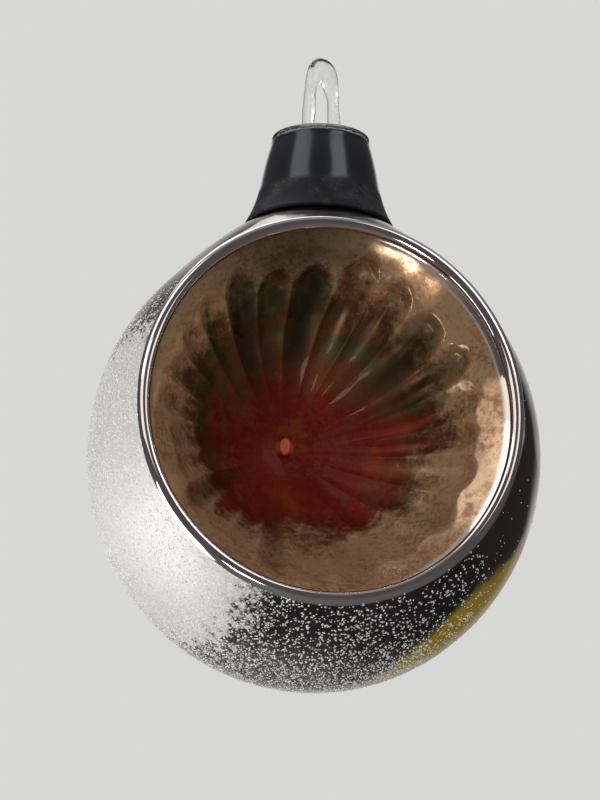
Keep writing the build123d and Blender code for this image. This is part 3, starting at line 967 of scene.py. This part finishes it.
class ORNAMENT_OT_cap(bpy.types.Operator):
    """Make the black bell-shaped cap and dress its grip sleeve"""

    bl_idname = "ornament.cap"
    bl_label = "Cap"

    def execute(self, context):
        cap = context.scene.ornament_cap
        top, foot = cap_high.z, cap_low.z
        skirt = cap_high.x
        side = smooth_curve(
            [(skirt, foot + 0.12 * MM), (cap.flare_radius, top - cap.flare_drop),
             (cap.waist_radius, top - cap.waist_drop), (cap.crown_radius, top - 0.7 * MM)], 46)
        edge_round, hole_round, play, skirt_wall = 0.62 * MM, 0.2 * MM, 0.02 * MM, 0.75 * MM
        ceiling = top - cap.crown_wall
        crown_edge = arc((cap.crown_radius - edge_round, top - edge_round), edge_round, 8, 90, 12)
        crown = [(radius * MM, top) for radius in (5.2, 4.2, 3.2, 2.2)]
        hole = [(cap.hole_radius + hole_round, top), (cap.hole_radius, top - hole_round),
                (cap.hole_radius, ceiling)]
        bore = -sleeve_low.x + play
        inner_foot = skirt - skirt_wall
        root = sleeve_low.z - 0.45 * MM
        inside = [(bore - 0.5 * MM, ceiling), (bore, ceiling - 0.3 * MM), (bore, root),
                  *smooth_curve([(bore, root), (7.4 * MM, root - 2.4 * MM), (inner_foot, foot)], 12)[1:]]
        piece = turned_mesh("cap_bell", [*side, *crown_edge, *crown, *hole, *inside], 144)
        dress(piece, "cap", "black_cap", "neck_cap")
        finish(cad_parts["grip_sleeve"], "cork")
        return {"FINISHED"}


class ORNAMENT_OT_loop(bpy.types.Operator):
    """Make the clear glass hanging loop with its foot disc, stem and bead"""

    bl_idname = "ornament.loop"
    bl_label = "Hanging loop"

    def execute(self, context):
        settings = context.scene.ornament_loop
        top = loop_high.z
        disc_radius = loop_high.x
        below_eye, stem_radius, pole = 2.1 * MM, 1.17 * MM, 0.05 * MM
        disc_top = -settings.eye_height - below_eye
        disc_bottom = disc_top - settings.disc_thickness
        half_spacing = settings.leg_spacing / 2

        path = smooth_curve(
            [(-half_spacing, disc_top - 0.2 * MM), (-half_spacing + 0.03 * MM, -5.2 * MM),
             (-half_spacing + 0.13 * MM, -3.0 * MM), (-1.66 * MM, -0.6 * MM), (0, top / 2 - 0.1 * MM),
             (1.60 * MM, -0.8 * MM), (half_spacing - 0.18 * MM, -3.2 * MM), (half_spacing, -5.4 * MM),
             (half_spacing + 0.04 * MM, disc_top - 0.2 * MM)], 90, start=(0, 1), end=(0, -1))
        along = unit(np.gradient(path, axis=0))
        across = np.stack([-along[:, 1], along[:, 0]], axis=1)
        share = np.linspace(-1, 1, len(path))
        arch = np.exp(-(share / 0.22) ** 2)
        wide = (0.74 + 0.10 * np.sin(9 * share + 1)) * MM * (1 - arch) + (top / 2 - 0.02 * MM) * arch
        deep = (1.02 + 0.07 * np.sin(7 * share)) * MM
        turns = full_turn(28)
        rings = [
            np.stack([place[0] + w * np.cos(turns) * side[0], d * np.sin(turns),
                      place[1] + w * np.cos(turns) * side[1]], axis=1)
            for place, side, w, d in zip(path, across, wide, deep)
        ]
        tube = mesh_from_rings("loop_tube", rings, first=rings[0].mean(axis=0), last=rings[-1].mean(axis=0))
        web_half_width, web_middle, web_half_height = 2.185 * MM, disc_top + 0.75 * MM, 1.35 * MM
        web = turned_mesh(
            "loop_web",
            [(web_half_width * math.cos(turn), web_middle + web_half_height * math.sin(turn))
             for turn in np.radians(np.linspace(-80, 80, 15))], 32, looped=False)
        web_flatness = 0.45
        web.data.transform(Matrix.Diagonal((1.0, web_flatness, 1.0, 1.0)))
        edge_round = 0.2 * MM
        disc = turned_mesh(
            "loop_disc",
            [(pole, disc_bottom), (disc_radius - 0.5 * MM, disc_bottom),
             *arc((disc_radius - edge_round, (disc_top + disc_bottom) / 2), edge_round, -75, 75, 9),
             (disc_radius - 0.7 * MM, disc_top), (pole, disc_top + 0.06 * MM)], 96, looped=False)
        bead = ((0.05, 0), (1.5, 0.05), (2.15, 0.5), (2.25, 1.0), (1.7, 1.6), (1.17, 1.7))  # in millimetres
        stem = turned_mesh(
            "loop_stem",
            [*((radius * MM, loop_low.z + height * MM) for radius, height in bead),
             (stem_radius, disc_bottom + 0.3 * MM), (pole, disc_bottom + 0.3 * MM)], 48, looped=False)
        shape = bmesh.new()
        for part in (tube, web, disc, stem):
            closed = bmesh.new()
            closed.from_mesh(part.data)
            holes = [edge for edge in closed.edges if edge.is_boundary]
            bmesh.ops.holes_fill(closed, edges=holes, sides=0)
            bmesh.ops.recalc_face_normals(closed, faces=closed.faces)
            closed.to_mesh(part.data)
            closed.free()
            shape.from_mesh(part.data)
            bpy.data.objects.remove(part)
        mesh = bpy.data.meshes.new("hanging_loop_glass")
        shape.to_mesh(mesh)
        shape.free()
        piece = add_object("hanging_loop_glass", mesh)
        fuse = piece.modifiers.new("fuse", "REMESH")
        fuse.mode = "VOXEL"
        fuse.voxel_size = settings.voxel
        soften = piece.modifiers.new("soften", "SMOOTH")
        soften.factor = 0.5
        soften.iterations = 5
        fused = bpy.data.meshes.new_from_object(piece.evaluated_get(context.evaluated_depsgraph_get()))
        piece.modifiers.clear()
        piece.data = fused
        piece.data.transform(Matrix.Rotation(settings.turn, 4, "Z"))
        piece.data.shade_smooth()
        dress(piece, "loop", "clear_glass", "hanging_loop")
        return {"FINISHED"}


class ORNAMENT_OT_stage(bpy.types.Operator):
    """Make the floor, the surroundings, the lamps and the camera"""

    bl_idname = "ornament.stage"
    bl_label = "Stage"

    def execute(self, context):
        stage = context.scene.ornament_stage
        scene = context.scene
        scene.view_settings.view_transform = "Standard"
        center = ball_center()
        toward_camera = Vector((
            math.sin(stage.azimuth) * math.cos(stage.elevation),
            -math.cos(stage.azimuth) * math.cos(stage.elevation),
            math.sin(stage.elevation)))
        right = Vector((math.cos(stage.azimuth), math.sin(stage.azimuth), 0))
        up = toward_camera.cross(right)

        camera = add_object("camera", bpy.data.cameras.new("camera"))
        scene.camera = camera
        camera.data.lens = stage.lens
        camera.data.clip_start, camera.data.clip_end = 0.01, 50
        aim_left, aim_up = 2.0 * MM, 7.8 * MM
        aim = center - aim_left * right + aim_up * up
        camera.location = aim + toward_camera * stage.distance
        camera.rotation_mode = "QUATERNION"
        level_view = (-toward_camera).to_track_quat("-Z", "Y")
        camera.rotation_quaternion = level_view @ Matrix.Rotation(-stage.roll, 3, "Z").to_quaternion()

        # name, place along the camera's right, up and nearness, distance, width, height, power, colour
        softboxes = (
            ("key_softbox", (-0.86, -0.45, 0.06), 0.45, 0.40, 0.26, stage.key_power, (1.0, 0.99, 0.97)),
            ("fill_left", (-0.56, 0.78, 0.30), 0.60, 0.31, 0.34, stage.fill_power, (0.86, 0.89, 1.0)),
            ("fill_right", (0.52, 0.80, 0.32), 0.60, 0.25, 0.30, 0.8 * stage.fill_power, (0.86, 0.89, 1.0)),
            ("front_softbox", (-0.28, -0.36, 0.89), 0.60, 0.14, 0.09, stage.front_power, (1.0, 0.97, 0.92)),
            ("side_left", (-0.56, 0.55, 0.62), 0.60, 0.46, 0.25, stage.side_power, (1.0, 0.98, 0.96)),
            ("side_right", (0.63, 0.55, 0.55), 0.60, 0.28, 0.25, 0.6 * stage.side_power, (1.0, 0.98, 0.97)),
            ("top_softbox", (-0.25, 0.75, -0.60), 0.75, 0.5, 0.5, stage.top_power, (1.0, 1.0, 1.0)),
        )
        for name, (side, height, nearness), distance, width, tall, power, colour in softboxes:
            lamp = bpy.data.lights.new(name, "AREA")
            lamp.shape = "RECTANGLE"
            lamp.size, lamp.size_y = width, tall
            lamp.energy = power
            lamp.color = colour
            holder = add_object(name, lamp)
            direction = (side * right + height * up + nearness * toward_camera).normalized()
            holder.visible_camera = False
            holder.location = center + direction * distance
            holder.rotation_euler = (-direction).to_track_quat("-Z", "Y").to_euler()

        world = scene.world or bpy.data.worlds.new("studio")
        scene.world = world
        world.use_nodes = True
        world.node_tree.nodes.clear()
        sky = Shading(world.node_tree)
        ray = sky.node("ShaderNodeLightPath").outputs
        view = sky.node("ShaderNodeTexCoord").outputs["Generated"]
        away = sky.steer("DOT_PRODUCT", view, tuple(-toward_camera))["Value"]
        behind = sky.ramp(away, 0.86, 0.98)
        height = sky.node("ShaderNodeSeparateXYZ", {0: view}).outputs["Z"]
        pale = sky.most(behind, sky.ramp(height, 0.5, 1.0, 0.0, 0.35))
        mirrored = sky.blend(pale, stage.room, stage.backdrop)
        glossy = sky.most(ray["Is Glossy Ray"], ray["Is Transmission Ray"])
        seen = sky.most(ray["Is Camera Ray"], ray["Is Transmission Ray"])
        soft = sky.blend(glossy, (stage.ambient,) * 3, mirrored)
        colour = sky.blend(seen, soft, stage.backdrop)
        shine = sky.node("ShaderNodeBackground", {"Color": colour, "Strength": 1.0})
        sky.put(sky.node("ShaderNodeOutputWorld").inputs[0], shine.outputs[0])

        floor_drop, floor_half = 0.42, 3.0
        floor_mesh = bpy.data.meshes.new("floor")
        shape = bmesh.new()
        bmesh.ops.create_grid(shape, x_segments=8, y_segments=8, size=floor_half)
        shape.to_mesh(floor_mesh)
        shape.free()
        floor = add_object("floor", floor_mesh)
        floor.location.z = center.z - floor_drop
        look = Finish("pale_floor", Roughness=0.9)
        pale = look.blend(look.noise(look.place, 3.0, 2.0), (0.74, 0.74, 0.73), (0.76, 0.76, 0.75))
        mirrored = look.node("ShaderNodeLightPath").outputs["Is Glossy Ray"]
        # Painted dark reflection: glossy rays see the floor dark grey, not pale.
        look.wire("Base Color", look.blend(mirrored, pale, (0.15, 0.15, 0.155)))
        backside = look.node("ShaderNodeNewGeometry").outputs["Backfacing"]
        clear = look.node("ShaderNodeBsdfTransparent").outputs[0]
        either = look.node("ShaderNodeMixShader", {0: backside, 1: look.shader.outputs[0], 2: clear})
        look.put(look.tree.nodes["Material Output"].inputs[0], either.outputs[0])
        floor_mesh.materials.append(look.material)
        return {"FINISHED"}


class ORNAMENT_PT_panel(bpy.types.Panel):
    """The ornament's pieces and their sizes"""

    bl_idname = "ORNAMENT_PT_panel"
    bl_label = "Indent reflector ornament"
    bl_space_type = "VIEW_3D"
    bl_region_type = "UI"
    bl_category = "Ornament"

    def draw(self, context):
        for operator in OPERATORS:
            self.layout.operator(operator.bl_idname)
        for name, group in SETTINGS.items():
            box = self.layout.box()
            settings = getattr(context.scene, name)
            for field in group.__annotations__:
                box.prop(settings, field)


SETTINGS = {
    "ornament_ball": BallSettings,
    "ornament_reflector": ReflectorSettings,
    "ornament_frost": FrostSettings,
    "ornament_cap": CapSettings,
    "ornament_loop": LoopSettings,
    "ornament_stage": StageSettings,
}
OPERATORS = (
    ORNAMENT_OT_finishes,
    ORNAMENT_OT_ball,
    ORNAMENT_OT_reflector,
    ORNAMENT_OT_coat,
    ORNAMENT_OT_frost,
    ORNAMENT_OT_cap,
    ORNAMENT_OT_loop,
    ORNAMENT_OT_stage,
)


def register():
    for name, group in SETTINGS.items():
        bpy.utils.register_class(group)
        setattr(bpy.types.Scene, name, bpy.props.PointerProperty(type=group))
    for operator in OPERATORS:
        bpy.utils.register_class(operator)
    bpy.utils.register_class(ORNAMENT_PT_panel)


def unregister():
    bpy.utils.unregister_class(ORNAMENT_PT_panel)
    for operator in reversed(OPERATORS):
        bpy.utils.unregister_class(operator)
    for name, group in reversed(SETTINGS.items()):
        delattr(bpy.types.Scene, name)
        bpy.utils.unregister_class(group)


def main():
    register()
    for operator in OPERATORS:
        family, action = operator.bl_idname.split(".")
        getattr(getattr(bpy.ops, family), action)()


if __name__ == "__main__":
    main()
